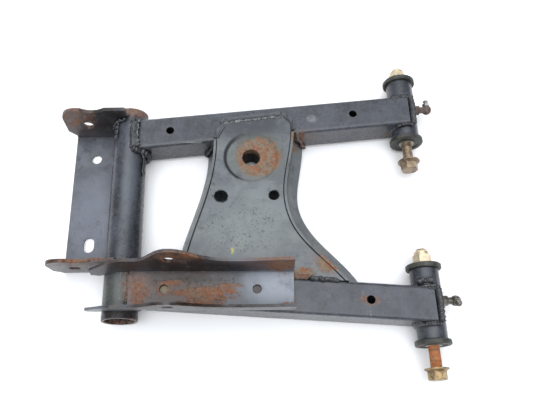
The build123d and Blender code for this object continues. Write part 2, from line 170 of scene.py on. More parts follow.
@dataclass
class Pattern:
    """Masks and colours worked out from a piece's own coordinates."""

    tree: Tree
    seed: float = 0.0
    place: Socket = field(init=False)

    def __post_init__(self) -> None:
        """Read the coordinates once for every mask."""
        self.place = add(self.tree, "ShaderNodeTexCoord").outputs["Object"]

    def math(self, operation: str, first: object, second: object = 0.0, clamp: bool = False) -> Socket:
        """One sum on one or two values."""
        node = add(self.tree, "ShaderNodeMath", {0: first, 1: second}, operation=operation,
                   use_clamp=clamp)
        return node.outputs[0]

    def times(self, first: object, second: object) -> Socket:
        """Product of two values."""
        return self.math("MULTIPLY", first, second)

    def most(self, first: object, second: object) -> Socket:
        """The larger of two values."""
        return self.math("MAXIMUM", first, second)

    def stretched(self, stretch: Point, turn_deg: float) -> Socket:
        """Coordinates turned about Z, then scaled, so that a pattern runs one way."""
        turned = add(self.tree, "ShaderNodeMapping", {
            "Vector": self.place, "Rotation": (0, 0, math.radians(turn_deg)), "Scale": stretch})
        return turned.outputs[0]

    def noise(self, size: float, detail: float = 3.0, rough: float = 0.55, warp: float = 0.0,
              place: Socket | None = None) -> Socket:
        """Cloudy value from 0 to 1 whose blotches are about size millimetres across.

        Args:
            size: Blotch width in millimetres.
            detail: Octaves of finer blotches.
            rough: How strong the finer blotches are.
            warp: Distortion of the blotches.
            place: Coordinates, where they are not the piece's own.

        Returns:
            The noise socket.
        """
        node = add(self.tree, "ShaderNodeTexNoise", {
            "Vector": place or self.place, "W": self.seed, "Scale": per_mm(size), "Detail": detail,
            "Roughness": rough, "Distortion": warp}, noise_dimensions="4D")
        return node.outputs["Fac"]

    def specks(self, spacing: float, reach: float) -> Socket:
        """Small round dots on a jittered grid, 1 inside a dot and 0 outside.

        Args:
            spacing: Typical distance between dots in millimetres.
            reach: Dot radius as a share of the spacing.

        Returns:
            The mask socket.
        """
        node = add(self.tree, "ShaderNodeTexVoronoi", {
            "Vector": self.place, "W": self.seed, "Scale": per_mm(spacing)}, voronoi_dimensions="4D")
        return self.ramp(node.outputs["Distance"], reach, reach * 0.6)

    def ramp(self, value: Socket, low: float, high: float, top: float = 1.0) -> Socket:
        """Smooth step from 0 at low to top at high; low may be the larger one."""
        node = add(self.tree, "ShaderNodeMapRange", {
            "Value": value, "From Min": low, "From Max": high, "To Min": 0.0, "To Max": top},
            interpolation_type="SMOOTHSTEP")
        return node.outputs[0]

    def patches(self, cloud: Cloud) -> Socket:
        """Mask of cloudy patches."""
        return self.ramp(self.noise(cloud.size, cloud.detail, cloud.rough), cloud.low, cloud.high,
                         cloud.top)

    def scratches(self, marks: Scratches) -> Socket:
        """Mask of thin scratches that run one way."""
        lines = self.noise(5.0, 2.0, 0.5, 0.3, self.stretched(marks.stretch, marks.turn_deg))
        return self.ramp(lines, marks.low, marks.low + SCRATCH_STEP, marks.top)

    def bump(self, height: Socket, strength: float, depth: float) -> Socket:
        """Normal of a surface with this relief; depth is in millimetres."""
        return add(self.tree, "ShaderNodeBump", {
            "Height": height, "Strength": strength, "Distance": depth * MM}).outputs[0]

    def blend(self, share: object, first: object, second: object) -> Socket:
        """Colour that goes from first to second with share."""
        node = add(self.tree, "ShaderNodeMix", {0: share, 6: first, 7: second}, data_type="RGBA")
        return node.outputs[2]

    def distance(self, scale: object, shift: object) -> Socket:
        """Length of the coordinates once they are scaled, then shifted."""
        local = add(self.tree, "ShaderNodeVectorMath", {0: self.place, 1: scale, 2: shift},
                    operation="MULTIPLY_ADD")
        far = add(self.tree, "ShaderNodeVectorMath", {0: local.outputs[0]}, operation="LENGTH")
        return far.outputs["Value"]

    def spot(self, centre: Point, reach: Point) -> Socket:
        """Falls from 1 at a centre to 0 at an ellipsoid's surface.

        Args:
            centre: Middle of the spot, in millimetres.
            reach: Half-lengths of the ellipsoid along X, Y and Z, in millimetres.

        Returns:
            The mask socket.
        """
        far = self.distance([1 / (r * MM) for r in reach], [-c / r for c, r in zip(centre, reach)])
        return self.math("SUBTRACT", 1.0, far, clamp=True)

    def ring(self, centre: Point, radius: float, half_width: float) -> Socket:
        """Falls from 1 on a circle about Z to 0 at half_width millimetres either side of it."""
        far = self.distance((1.0, 1.0, 0.0), (-centre[0] * MM, -centre[1] * MM, 0.0))
        off = self.math("ABSOLUTE", self.math("SUBTRACT", far, radius * MM))
        return self.ramp(off, half_width * MM, 0.0)

    def crevices(self, reach: float) -> Socket:
        """Near 1 in tight corners and 0 on open faces, judged over reach millimetres."""
        node = add(self.tree, "ShaderNodeAmbientOcclusion", {"Distance": reach * MM}, samples=6)
        return self.ramp(node.outputs["AO"], 0.80, 0.40)

    def edges(self, radius: float) -> Socket:
        """Near 1 on sharp edges and 0 on flat faces, within radius millimetres."""
        rounded = add(self.tree, "ShaderNodeBevel", {"Radius": radius * MM}, samples=4)
        flat = add(self.tree, "ShaderNodeNewGeometry")
        dot = add(self.tree, "ShaderNodeVectorMath", {
            0: rounded.outputs[0], 1: flat.outputs["Normal"]}, operation="DOT_PRODUCT")
        return self.ramp(dot.outputs["Value"], 0.985, 0.80)


@dataclass(frozen=True)
class Spot:
    """One place where a finish has gone or where shade is painted on it: its middle, its half-lengths
    and its strength.
    """

    centre: Point
    reach: Point
    strength: float = 1.0


@dataclass(frozen=True)
class StainOrLight:
    """A soft patch of colour on a finish, a stain in most places and painted light or shade in some:
    its middle, half-lengths, colour, strength and how matt it is.
    """

    centre: Point
    reach: Point
    tint: str
    strength: float = 0.6
    matt: float = 0.0

    def share(self, pattern: Pattern) -> Socket:
        """Where the patch lies, 0 to 1."""
        share = pattern.ramp(pattern.spot(self.centre, self.reach), 0.0, 0.75, self.strength)
        return pattern.times(share, pattern.patches(FILM_BREAKS))


def spotted(pattern: Pattern, spots: tuple[Spot, ...], ragged: Socket) -> Socket:
    """Mask of ragged patches at the given spots.

    Args:
        pattern: Pattern maker of the material.
        spots: The patches.
        ragged: Noise that breaks up their outlines.

    Returns:
        The mask socket, 0 to 1.
    """
    total: Socket | None = None
    for spot in spots:
        share = pattern.times(pattern.spot(spot.centre, spot.reach), 2.2 * spot.strength)
        total = share if total is None else pattern.most(total, share)
    torn = pattern.math("ADD", ragged, pattern.times(pattern.noise(11.0, 5.0, 0.7), 1.3))
    torn = pattern.times(pattern.math("SUBTRACT", torn, 1.15), 1.6)
    broken = pattern.math("ADD", total, torn)
    return pattern.times(pattern.ramp(broken, 0.15, 0.80), pattern.ramp(total, 0.0, 0.15))


# ------------------------------------------------------------------ finishes
@dataclass(frozen=True)
class RustTones:
    """Colours of iron oxide: bright fresh rust, pinkish dust and dark scale."""

    bright: str = "#7a5440"
    dusty: str = "#77675e"
    scale: str = "#2c211c"

    def colour(self, pattern: Pattern) -> Socket:
        """Mottled rust colour: two tones stirred together, with dark scale on top."""
        warm = pattern.blend(pattern.patches(RUST_DUST), linear(self.bright), linear(self.dusty))
        return pattern.blend(pattern.patches(RUST_SCALE), warm, linear(self.scale))


@dataclass(frozen=True)
class WornPaint:
    """Satin black chassis paint, sprayed on steel: greyed by dust, pitted, chipped and rusting, with
    painted shade and painted highlights where listed.

    It is a dielectric coat, so it reflects the sky softly and looks blue-grey on top.
    """

    name: str
    paint: str = "#2d3036"
    faded: str = "#3d4048"
    dusty: str = "#454745"
    # dark colour of smudges, and of the painted shade in tight corners
    grime_and_shade: str = "#131415"
    edge: str = "#6c6d6b"
    rust: tuple[Spot, ...] = ()
    pits: tuple[Spot, ...] = ()
    dabs: tuple[Spot, ...] = ()
    # places of painted shade in holes and hollows
    painted_shade: tuple[Spot, ...] = ()
    # stains, painted highlights, painted reflections and painted shade
    stains_and_light: tuple[StainOrLight, ...] = ()
    # middle of a raised ring whose left wall gets a painted shaded arc
    shaded_crescent: Point | None = None
    seed: float = 0.0
    rusty_edges: float = 0.25
    gloss: float = 0.30
    tones: RustTones = RustTones()

    def weathered(self, pattern: Pattern, cloud: Socket, fine: Socket) -> Socket:
        """Paint greyed by sun and road, scratched and chipped.

        Args:
            pattern: Pattern maker of the material.
            cloud: Broad blotches that the fading and the chips follow.
            fine: Fine blotches.

        Returns:
            The colour socket.
        """
        faded = pattern.ramp(cloud, 0.38, 0.62)
        colour = pattern.blend(faded, linear(self.paint), linear(self.faded))
        colour = pattern.blend(pattern.patches(ROAD_DUST), colour, linear(self.dusty))
        colour = pattern.blend(pattern.patches(SMUDGES), colour, linear(self.grime_and_shade))
        colour = pattern.blend(pattern.ramp(fine, 0.50, 0.72, 0.30), colour, linear(self.edge))
        chips = pattern.times(pattern.specks(7.5, 0.11), pattern.ramp(cloud, 0.50, 0.60, 0.8))
        along, across = (pattern.scratches(marks) for marks in SCRATCHES)
        light = pattern.most(pattern.most(along, across), chips)
        return pattern.blend(light, colour, linear(CHIP))

    def pitting(self, pattern: Pattern, cloud: Socket, fine: Socket) -> Socket:
        """Mask of dark pits: a few everywhere, many in the places listed in pits."""
        dark = pattern.times(pattern.specks(4.4, 0.16), pattern.ramp(cloud, 0.54, 0.66, 0.75))
        if self.pits:
            dense = pattern.most(pattern.specks(2.8, 0.34), pattern.ramp(fine, 0.58, 0.64))
            dense = pattern.times(dense, spotted(pattern, self.pits, fine))
            dark = pattern.most(dark, dense)
        return dark

    def dirtied_and_shaded(self, pattern: Pattern, colour: Socket, fine: Socket) -> tuple[Socket, object]:
        """Stains, muck and painted shade in the creases, painted highlights and reflections, a painted
        shaded arc round the hub and painted shade in holes.

        Args:
            pattern: Pattern maker of the material.
            colour: Colour under the stains and painted shade.
            fine: Fine blotches.

        Returns:
            The stained and shaded colour, and how much the stains and painted shade dull the sheen, 0
            to 1.
        """
        dull: object = 0.0
        # stains, and in places a painted highlight, reflection or shade
        for patch in self.stains_and_light:
            share = patch.share(pattern)
            colour = pattern.blend(share, colour, linear(patch.tint))
            if patch.matt:
                dull = pattern.most(dull, pattern.times(share, patch.matt))
        # painted shade: a dark arc on the left of the raised ring round the hub hole
        if self.shaded_crescent:
            side = pattern.spot((self.shaded_crescent[0] - 22, self.shaded_crescent[1] - 3, self.shaded_crescent[2]),
                                (26, 34, 30))
            arc = pattern.times(pattern.ring(self.shaded_crescent, 29.8, 3.4),
                                pattern.ramp(side, 0.0, 0.35, 0.85))
            colour = pattern.blend(arc, colour, linear(CRESCENT_SHADE))
        # darker in tight corners and creases: part caked muck, part painted shade
        crevice_grime_and_shade = pattern.times(pattern.crevices(CREVICE_REACH), pattern.ramp(fine, 0.25, 0.50, 0.85))
        colour = pattern.blend(crevice_grime_and_shade, colour, linear(self.grime_and_shade))
        # painted shade in holes and hollows, which also dulls the sheen there
        if self.painted_shade:
            black = spotted(pattern, self.painted_shade, fine)
            colour = pattern.blend(black, colour, linear(PAINTED_SHADE))
            dull = pattern.most(dull, black)
        return colour, dull

    def rusting(self, pattern: Pattern, fine: Socket) -> Socket:
        """Mask of rust: along sharp edges, and in the places listed in rust."""
        rusty = pattern.times(pattern.edges(RUSTY_EDGE), pattern.patches(EDGE_RUST))
        rusty = pattern.times(rusty, self.rusty_edges)
        if self.rust:
            rusty = pattern.most(rusty, spotted(pattern, self.rust, fine))
        return rusty

    def build(self) -> bpy.types.Material:
        """Make the material.

        Returns:
            The new material.
        """
        material, tree, shader = new_material(self.name)
        pattern = Pattern(tree, self.seed)
        cloud = pattern.noise(38.0, 4.0, 0.6, 0.4)
        fine = pattern.noise(3.2, 4.0, 0.65)
        grit = pattern.noise(0.9, 2.0, 0.6)
        dark = self.pitting(pattern, cloud, fine)
        colour = pattern.blend(dark, self.weathered(pattern, cloud, fine), linear(PIT))
        colour, dull = self.dirtied_and_shaded(pattern, colour, fine)
        if isinstance(dull, Socket):
            sheen = pattern.math("MULTIPLY_ADD", dull, -0.46)
            sheen.node.inputs[2].default_value = 0.5
            join(tree, shader, {"Specular IOR Level": sheen})
        worn = pattern.times(pattern.edges(WORN_EDGE), pattern.ramp(fine, 0.44, 0.62, 0.6))
        colour = pattern.blend(worn, colour, linear(self.edge))
        rusty = self.rusting(pattern, fine)
        colour = pattern.blend(rusty, colour, self.tones.colour(pattern))
        if self.dabs:
            colour = pattern.blend(spotted(pattern, self.dabs, fine), colour, linear(MARKER))

        uneven = add(tree, "ShaderNodeMapRange", {
            "Value": fine, "From Min": 0.3, "From Max": 0.7, "To Min": -0.05, "To Max": 0.12})
        rough = pattern.math("MULTIPLY_ADD", rusty, 0.40)
        tree.links.new(uneven.outputs[0], rough.node.inputs[2])
        skin = pattern.math("ADD", pattern.times(grit, 0.35), pattern.times(fine, 0.25))
        crust = pattern.times(rusty, pattern.times(grit, 1.6))
        relief = pattern.math("ADD", pattern.times(dark, -0.8), crust)
        height = pattern.math("ADD", skin, relief)
        join(tree, shader, {"Base Color": colour, "Normal": pattern.bump(height, 0.35, 0.5),
                            "Roughness": pattern.math("ADD", rough, self.gloss, clamp=True)})
        shader.inputs["IOR"].default_value = PAINT_IOR
        return material


@dataclass(frozen=True)
class PlatedSteel:
    """Zinc-plated or bare steel, turned or forged: metal that shows between stains and rust."""

    name: str
    metal: str
    stain: str
    rust: RustTones = RustTones()
    rust_cover: float = 0.3
    spots: tuple[Spot, ...] = ()
    metallic: float = 0.75
    rough: float = 0.38
    band: float = 0.0
    seed: float = 0.0

    def build(self) -> bpy.types.Material:
        """Make the material.

        Returns:
            The new material.
        """
        material, tree, shader = new_material(self.name)
        pattern = Pattern(tree, self.seed)
        fine = pattern.noise(1.6, 4.0, 0.65)
        colour = pattern.blend(pattern.patches(ZINC_STAIN), linear(self.metal), linear(self.stain))
        spread = 0.36 * self.rust_cover
        cover = pattern.patches(Cloud(5.5, 5.0, 0.7, 0.68 - spread, 0.80 - spread, 0.9))
        if self.spots:
            cover = pattern.most(cover, spotted(pattern, self.spots, fine))
        colour = pattern.blend(cover, colour, self.rust.colour(pattern))
        specks = pattern.times(pattern.specks(2.2, 0.22), 0.5)
        colour = pattern.blend(specks, colour, linear("#2c2620"))
        height = pattern.math("ADD", fine, pattern.times(cover, 0.6))
        if self.band:
            rings = add(tree, "ShaderNodeTexWave", {
                "Vector": pattern.place, "Scale": per_mm(self.band) / 20.0, "Distortion": 1.2,
                "Detail": 2.0, "Detail Scale": 3.0}, wave_type="BANDS", bands_direction="Y")
            height = pattern.math("ADD", height, pattern.times(rings.outputs["Fac"], 0.5))
            colour = pattern.blend(pattern.ramp(rings.outputs["Fac"], 0.25, 0.05, 0.35), colour,
                                   linear("#4a3322"))
        bare = pattern.math("SUBTRACT", 1.0, cover, clamp=True)
        rough = pattern.math("ADD", pattern.times(cover, 0.45), self.rough, clamp=True)
        join(tree, shader, {
            "Base Color": colour, "Metallic": pattern.times(bare, self.metallic),
            "Roughness": rough, "Normal": pattern.bump(height, 0.3, 0.3)})
        return material


@dataclass(frozen=True)
class MouldedPlastic:
    """Polyurethane, injection moulded: even, slightly waxy, with a film of old grease and grit."""

    name: str
    body: str = "#2c2e2b"
    grease: str = "#45463c"
    seed: float = 0.0

    def build(self) -> bpy.types.Material:
        """Make the material.

        Returns:
            The new material.
        """
        material, tree, shader = new_material(self.name)
        pattern = Pattern(tree, self.seed)
        fine = pattern.noise(1.8, 4.0, 0.6)
        smear = pattern.patches(GREASE_SMEAR)
        colour = pattern.blend(smear, linear(self.body), linear(self.grease))
        scuff = pattern.times(pattern.edges(SCUFFED_EDGE), pattern.ramp(fine, 0.45, 0.65, 0.5))
        colour = pattern.blend(scuff, colour, linear("#6c6c62"))
        grit = pattern.times(pattern.specks(2.6, 0.2), pattern.ramp(fine, 0.48, 0.6, 0.6))
        colour = pattern.blend(grit, colour, linear("#121210"))
        rough = pattern.math("MULTIPLY_ADD", fine, 0.25)
        rough.node.inputs[2].default_value = 0.36
        join(tree, shader, {
            "Base Color": colour, "Roughness": rough, "Normal": pattern.bump(fine, 0.25, 0.3)})
        shader.inputs["IOR"].default_value = PLASTIC_IOR
        return material


# ------------------------------------------------------------------ the frame's layout
@dataclass(frozen=True)
class Layout:
    """Driving sizes of the carrier, in millimetres in the frame's own axes."""

    tube_x: float = -332.0
    tube_r: float = 19.05
    arm_half: float = 19.0
    arm_at_tube: float = 89.3
    arm_slope: float = math.tan(math.radians(5.1))
    arm_end_x: float = 3.0
    sleeve_r: float = 16.0
    pressing_low: float = -17.0
    hub_x: float = -189.0
    hub_y: float = 56.5
    ear_lean_deg: float = 4.0
    ear_root_z: float = -19.0

    def arm_y(self, side: str, x: float, across: float = 0.0) -> float:
        """Y of an arm at x; across is measured outwards from its centre line."""
        return SIDES[side] * (self.arm_at_tube + (x - self.tube_x) * self.arm_slope + across)

    def round_tube(self, y: float, start: float, end: float, lift: float) -> list[Point]:
        """Points round the cross tube at y, between two angles from +X towards +Z."""
        return arc_points(self.tube_x, y, self.tube_r + lift, start, end, 9)

    def round_sleeve(self, y: float, start: float, end: float, lift: float) -> list[Point]:
        """Points round a hinge sleeve at y, between two angles from +X towards +Z."""
        return arc_points(0.0, y, self.sleeve_r + lift, start, end, 14)


def arc_points(x: float, y: float, radius: float, start: float, end: float, steps: int) -> list[Point]:
    """Points on a circle about an axis along Y, between two angles from +X towards +Z."""
    angles = [math.radians(start + (end - start) * i / steps) for i in range(steps + 1)]
    return [(x + radius * math.cos(a), y, radius * math.sin(a)) for a in angles]


LAYOUT = Layout()


# ------------------------------------------------------------------ weld beads
class WeldLook(Enum):
    """How the metal of a bead looks."""

    PAINTED = "painted over"
    FILLED = "a smooth seam under thick paint"
    BARE = "paint worn through"
    RUSTY = "rusting through"
    GLOSSY = "thick paint that stayed wet and pooled"


WELD_FINISHES = {
    # black beads whose ropey crests are scuffed grey
    WeldLook.PAINTED: WornPaint(
        "weld_metal_painted", "#1d1e20", "#2c2e32", "#303133", edge="#7d7e80", seed=4.0, gloss=0.32),
    # a lap that paint has nearly levelled with the arm
    WeldLook.FILLED: WornPaint(
        "satin_paint_on_seam", "#33363c", "#464950", "#494b4b", seed=2.0),
    # grey bare metal with dark gaps between the puddles
    WeldLook.BARE: PlatedSteel(
        "weld_metal_bare", "#6c6f70", "#2e2f2e", rust_cover=0.2, metallic=0.4, rough=0.38, seed=5.0),
    # wet-looking black runs that catch the sky
    WeldLook.GLOSSY: WornPaint(
        "glossy_paint_on_weld", "#1f2023", "#2b2d31", "#2e2f31", edge="#77787a", seed=8.0, gloss=0.17),
    # brown puddles that rust from their edges inwards
    WeldLook.RUSTY: PlatedSteel(
        "weld_metal_rusty", "#55504a", "#3a3531", rust_cover=0.85, metallic=0.4, rough=0.45, seed=6.0),
}


@dataclass
class WeldBead:
    """One run of weld metal, laid as overlapping puddles and fused into one closed skin.

    Attributes:
        name: Piece name.
        path: Points of the run, in millimetres.
        width: Width of the bead.
        height: How far the puddles stand above the path.
        look: Finish of the metal.
        pitch: Distance from one puddle to the next.
        ripple: How far a puddle may stray, as a share of the height.
        voxel: Cell size of the fused skin.
    """

    name: str
    path: list[Point]
    width: float = 6.0
    height: float = 2.2
    look: WeldLook = WeldLook.PAINTED
    pitch: float = 2.2
    ripple: float = 0.34
    voxel: float = 0.55

    def stations(self) -> list[tuple[Vector, Vector]]:
        """Even steps along the path.

        Returns:
            The place and the direction of travel at each puddle.
        """
        points = [Vector(p) for p in self.path]
        found: list[tuple[Vector, Vector]] = []
        left = 0.0
        for start, end in zip(points, points[1:]):
            run = end - start
            way = run.normalized()
            while left <= run.length:
                found.append((start + way * left, way))
                left += self.pitch
            left -= run.length
        return found

    def build(self) -> bpy.types.Object:
        """Lay the puddles and fuse them.

        Returns:
            The finished bead.
        """
        chance = random.Random(self.name)
        shell = bmesh.new()
        for place, way in self.stations():
            side = way.orthogonal().normalized()
            turn = Matrix((way, side, way.cross(side))).transposed().to_4x4()
            jitter = Vector([chance.uniform(-self.ripple, self.ripple) * self.height for _ in range(3)])
            swell = 1.0 + chance.uniform(-0.8, 0.65) * self.ripple
            puddle = Matrix.Diagonal((self.pitch * 0.95, *self.sizes(way, side, swell), 1.0))
            bmesh.ops.create_icosphere(
                shell, subdivisions=2, radius=MM,
                matrix=Matrix.Translation((place + jitter) * MM) @ turn @ puddle)
        return fused(self.name, shell, self.voxel)

    def sizes(self, way: Vector, side: Vector, swell: float) -> tuple[float, float]:
        """Half-lengths of a puddle across the run: wide along the surface, low off it."""
        half, low = self.width / 2 * swell, self.height * swell
        flat = abs(side.z) < abs(way.cross(side).z)
        return (half, low) if flat else (low, half)


@dataclass(frozen=True)
class Spatter:
    """Drops of weld metal frozen to a flat face: ends and half-width of the band hit, a count."""

    name: str
    start: Point
    end: Point
    spread: float
    count: int

    def build(self) -> bpy.types.Object:
        """Scatter low domes, thickest near the middle of the band.

        Returns:
            The finished drops.
        """
        chance = random.Random(self.name)
        start, end = Vector(self.start), Vector(self.end)
        across = (end - start).normalized().cross(Vector((0, 0, 1)))
        shell = bmesh.new()
        for _ in range(self.count):
            place = start.lerp(end, chance.random()) + across * chance.triangular(-1, 1) * self.spread
            size = chance.triangular(0.35, 1.0, 0.45)
            bmesh.ops.create_icosphere(shell, subdivisions=2, radius=size * MM, matrix=(
                Matrix.Translation(place * MM) @ Matrix.Diagonal((1, 1, 0.6, 1))))
        mesh = bpy.data.meshes.new(self.name)
        shell.to_mesh(mesh)
        shell.free()
        mesh.shade_smooth()
        drops = bpy.data.objects.new(self.name, mesh)
        bpy.context.scene.collection.objects.link(drops)
        return drops


def fused(name: str, shell: bmesh.types.BMesh, voxel: float) -> bpy.types.Object:
    """Melt overlapping closed shells into one skin.

    Args:
        name: Name of the piece.
        shell: The shells; it is freed.
        voxel: Cell size of the new skin, in millimetres.

    Returns:
        A mesh object with smooth shading and no modifiers left.
    """
    rough = bpy.data.meshes.new(name)
    shell.to_mesh(rough)
    shell.free()
    piece = bpy.data.objects.new(name, rough)
    bpy.context.scene.collection.objects.link(piece)
    melt = piece.modifiers.new("melt", "REMESH")
    melt.mode = "VOXEL"
    melt.voxel_size = voxel * MM
    melt.use_smooth_shade = True
    soften = piece.modifiers.new("soften", "SMOOTH")
    soften.factor, soften.iterations = 0.5, 2
    bpy.context.view_layer.update()
    graph = bpy.context.evaluated_depsgraph_get()
    done = bpy.data.meshes.new_from_object(piece.evaluated_get(graph))
    piece.modifiers.clear()
    piece.data = done
    done.name = name
    done.materials.clear()
    return piece


def finish_piece(piece: bpy.types.Object, material: bpy.types.Material, body: str) -> None:
    """Give a new piece its material and the body that carries it."""
    piece.data.materials.append(material)
    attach(piece, body)
    log.info("%s: %d faces on %s", piece.name, len(piece.data.polygons), body)


@dataclass
class FrameWelds:
    """Every bead that holds the frame together, ropey and hand laid."""

    layout: Layout = LAYOUT
    beads: list[WeldBead] = field(default_factory=list)

    def queue(self, name: str, path: list[Point], *shape: object) -> None:
        """Queue one bead; shape is the rest of WeldBead's fields, in order."""
        self.beads.append(WeldBead(name, path, *shape))

    def arm_to_tube(self, side: str) -> None:
        """Beads round an arm where it saddles the cross tube."""
        lay, sign = self.layout, SIDES[side]
        x = lay.tube_x + 11.0
        off = lay.arm_half + 0.3
        inner, outer = (lay.arm_y(side, x, across) for across in (-off, off))
        if side == "upper":
            top = [(x - 1.2, outer - 2, lay.arm_half), (x - 2.0, (inner + outer) / 2, off),
                   (x - 0.4, inner + 1, lay.arm_half)]
            self.queue("upper_arm_top_weld", top, 13.5, 1.9, WeldLook.BARE, 2.0, 0.36)
            run = [(x - 8.5, outer - 3, 17.6), (x - 8.0, inner + 2, 17.6)]
            self.queue("upper_arm_tube_weld", run, 6.5, 1.3, WeldLook.PAINTED, 2.4)
            lumps = [(x + 4.0, inner - 1.0, 15.0), (x + 7.6, inner - 10, 9.0),
                     (x + 7.4, inner - 30, 9.5)]
            self.queue("tube_drip_weld", lumps, 3.4, 1.6, WeldLook.PAINTED, 4.2)
        low = [(x, outer, -lay.arm_half), (x, inner, -lay.arm_half)]
        self.queue(f"{side}_arm_under_weld", low, 8.0, 2.0, WeldLook.PAINTED, 2.6)
        within = lay.round_tube(inner - sign * 1.5, 66, -62, 2.4)
        self.queue(f"{side}_arm_inner_weld", within, 7.5, 4.2, WeldLook.PAINTED, 3.0)
        without = lay.round_tube(outer, 62, -62, 1.5)
        self.queue(f"{side}_arm_outer_weld", without, 5.0, 2.4, WeldLook.PAINTED, 2.4)

    def arm_to_sleeve(self, side: str) -> None:
        """Beads round the end of an arm where it saddles its hinge sleeve."""
        lay = self.layout
        end = lay.arm_end_x
        inner, outer = (lay.arm_y(side, end, across) for across in (-lay.arm_half, lay.arm_half))
        for name, z in (("top", 1), ("under", -1)):
            run = [(end + 3.0, inner, z * 15.2), (end + 4.2, (inner + outer) / 2, z * 15.0),
                   (end + 3.0, outer, z * 15.2)]
            self.queue(f"{side}_sleeve_{name}_weld", run, 13.0, 3.3, WeldLook.GLOSSY, 1.6, 0.12)
        for name, y in (("inner", inner), ("outer", outer)):
            ring = lay.round_sleeve(y, 72, 288, 0.4)
            self.queue(f"{side}_sleeve_{name}_weld", ring, 10.0, 2.6, WeldLook.GLOSSY, 1.5, 0.12)
        if side == "lower":
            lens = [(-11, inner + 4.5, 12.6), (-4, inner + 7.0, 15.6), (4, inner + 5.0, 15.2)]
            self.queue("lower_sleeve_lens_weld", lens, 11.0, 2.3, WeldLook.GLOSSY, 1.4, 0.08)

    def beside_ear(self, arc: list[Point], lean: int, inset: float = 0.0) -> list[Point]:
        """Move points round the tube onto the face of a leaning latch ear.

        Args:
            arc: Points where the ear leaves the web.
            lean: 1 for the far ear, -1 for the near one.
            inset: How far the run stays inside the ear's face.

        Returns:
            The moved points.
        """
        slope = lean * math.tan(math.radians(self.layout.ear_lean_deg))
        root = self.layout.ear_root_z
        return [(x, y + slope * (z - root) - lean * inset, z) for x, y, z in arc]

    def latch_to_tube(self) -> None:
        """Beads where the latch bracket cradles the cross tube."""
        lay = self.layout
        seam = [(lay.tube_x - 13.5, y, -16.6) for y in (-58, 103)]
        self.queue("latch_web_weld", seam, 4.6, 1.7, WeldLook.PAINTED, 2.4)
        for name, y, lean in (("far", 106.6, 1), ("near", -60.2, -1)):
            arc = self.beside_ear(lay.round_tube(y, 232, 100, 1.3), lean, 1.0)
            self.queue(f"latch_{name}_ear_weld", arc, 5.0, 2.6, WeldLook.PAINTED, 2.4)
        run = [(lay.tube_x - 12.5, 104.5, 15.2), (lay.tube_x - 14.0, 84, 13.5)]
        self.queue("latch_tube_weld", run, 6.0, 2.6, WeldLook.PAINTED, 3.0)
        for name, y, lean in (("far", 112.4, 1), ("near", -65.9, -1)):
            arc = self.beside_ear(lay.round_tube(y, 244, 86, 0.8), lean)
            self.queue(f"latch_{name}_outer_weld", arc, 4.4, 1.9, WeldLook.RUSTY, 2.4)

    def plate_to_arms(self) -> None:
        """Beads along the wheel plate and the pressing behind it."""
        lay = self.layout
        lap = [(-219, 100.4, 21.2), (-200, 102.6, 21.6), (-180, 105.0, 21.8), (-160, 107.2, 21.8),
               (-153, 107.8, 21.4)]
        self.queue("plate_lap_weld", lap, 5.4, 1.5, WeldLook.BARE, 1.4, 0.30, 0.5)
        seam = [(x, y, 18.9) for x, y in (
            (-231.0, 83.0), (-227.0, 92.0), (-222.0, 99.6), (-217, 102.4), (-153, 109.6),
            (-147.0, 107.0), (-142.5, 100.2), (-141.4, 91.0))]
        self.queue("plate_lap_seam", seam, 15.0, 1.55, WeldLook.FILLED, 1.2, 0.03)
        rusty = [(x, lay.arm_y("lower", x, -lay.arm_half - 1.2), 18.9) for x in (-148, -138, -126)]
        self.queue("plate_edge_weld", rusty, 6.2, 1.9, WeldLook.RUSTY, 2.0)
        dark = [(x, lay.arm_y("lower", x, -lay.arm_half + 0.6), 19.2) for x in (-127, -115, -100)]
        self.queue("plate_corner_weld", dark, 7.4, 2.2, WeldLook.PAINTED, 3.0)
        corner = [(-134.5, 87.6, 18.5), (-132, 86.9, 6), (-127, 86.6, -6), (-124, 86.5, -15)]
        self.queue("pressing_upper_right_weld", corner, 4.6, 2.4, WeldLook.RUSTY, 2.2)
        corner = [(-233, 77.4, 17.5), (-235, 77, 4), (-241, 76.6, -8), (-243.5, 76.2, -15)]
        self.queue("pressing_upper_left_weld", corner, 4.6, 2.2, WeldLook.PAINTED, 2.2)
        for side, xs in (("upper", (-241, -125)), ("lower", (-278, -72))):
            run = [(x, lay.arm_y(side, x, -lay.arm_half - 0.6), lay.pressing_low - 0.4) for x in xs]
            self.queue(f"pressing_{side}_under_weld", run, 5.4, 1.8, WeldLook.PAINTED, 2.6)

    def channel_to_arm(self) -> None:
        """Beads along the open channel where it lies on the lower arm and the tube."""
        end = [(-320.6, -78.8, 18.6), (-321.6, -94, 18.2), (-323.2, -113, 17.0)]
        self.queue("channel_web_weld", end, 8.0, 2.2, WeldLook.RUSTY, 2.4)
        far = [(-316, -72.0, 19.4), (-236, -74.0, 19.6), (-150, -75.8, 19.9)]
        self.queue("channel_far_weld", far, 4.8, 1.7, WeldLook.PAINTED, 2.6)

    def spatter(self) -> list[Spatter]:
        """Loose drops on the arms' flat tops beside the roughest runs."""
        face = self.layout.arm_half
        return [
            Spatter("upper_arm_spatter", (-311, 79, face), (-307, 103, face), 8.0, 26),
            Spatter("plate_lap_spatter", (-232, 107, face), (-150, 114, face), 4.5, 40),
            Spatter("upper_arm_pit_spatter", (-121, 106, face), (-109, 109, face), 5.0, 16),
            Spatter("lower_arm_spatter", (-126, -114, face), (-96, -110, face), 6.0, 12),
        ]

    def build(self) -> None:
        """Lay every bead and give it its finish."""
        for side in SIDES:
            self.arm_to_tube(side)
            self.arm_to_sleeve(side)
        self.latch_to_tube()
        self.plate_to_arms()
        self.channel_to_arm()
        looks = {look: finish.build() for look, finish in WELD_FINISHES.items()}
        for bead in self.beads:
            finish_piece(bead.build(), looks[bead.look], "root")
        for drops in self.spatter():
            finish_piece(drops.build(), looks[WeldLook.BARE], "root")


